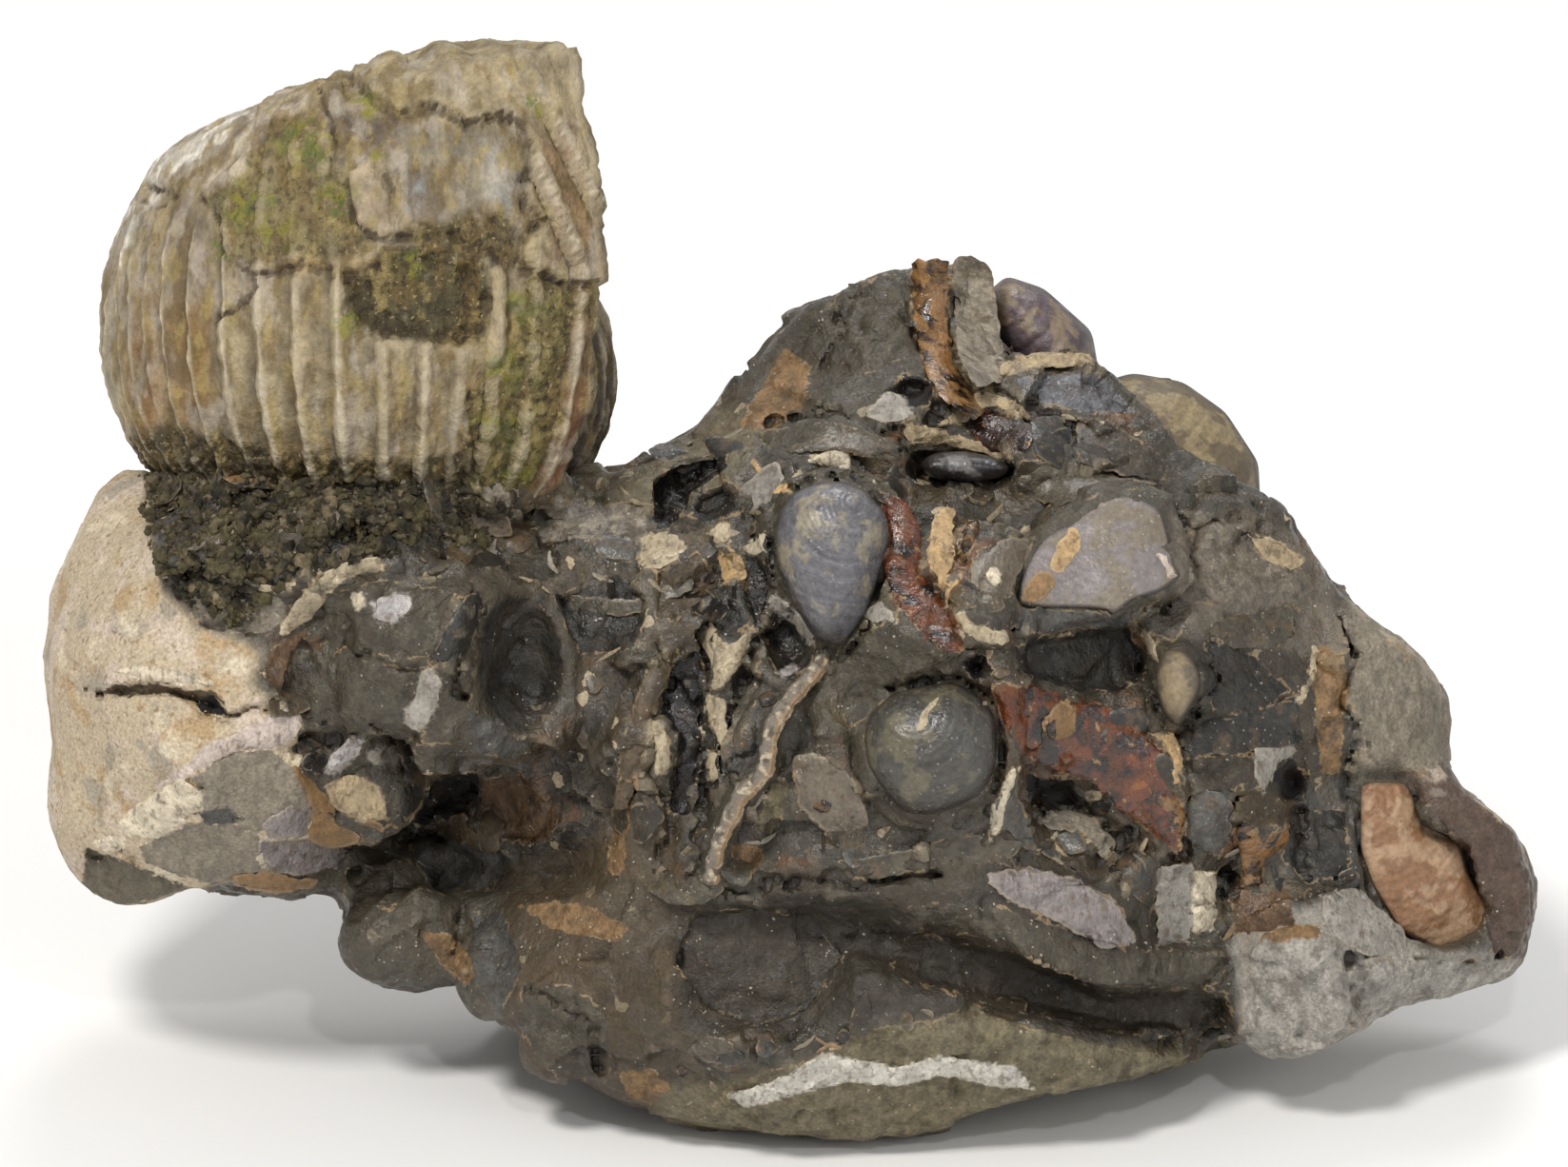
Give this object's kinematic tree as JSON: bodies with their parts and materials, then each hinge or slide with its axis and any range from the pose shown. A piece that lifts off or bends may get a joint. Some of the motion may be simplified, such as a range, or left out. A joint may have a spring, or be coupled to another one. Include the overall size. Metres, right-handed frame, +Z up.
{
  "type": "fossil ammonite",
  "caption": "Ribbed ammonite standing on a lump of dark shelly stone, with smaller fossil shells seated in the stone's broken face.",
  "frame": {"origin": "on the table, under the middle of the whole fossil's box", "axes": "+Z up, +X to the right across the broken face, and the broken face towards -Y"},
  "size_m": [0.1181, 0.0617, 0.0832],
  "materials": {
    "dark_stone": "broken, with glossy flecks",
    "tan_shell": "weathered, satin",
    "grey_shell": "satin",
    "cream_shell": "satin",
    "pink_shell": "glossy",
    "nacre": "pearly"
  },
  "bodies": {
    "root": {"stone": "dark_stone", "ammonite": "tan_shell", "upper_clam": "grey_shell", "lower_clam": "grey_shell", "pocket_shell": "grey_shell", "shell_plate": "grey_shell", "oval_clam": "cream_shell", "shell_edge": "cream_shell", "pink_shell": "pink_shell", "back_clam_left": "nacre", "back_clam_right": "nacre"}
  },
  "joints": []
}
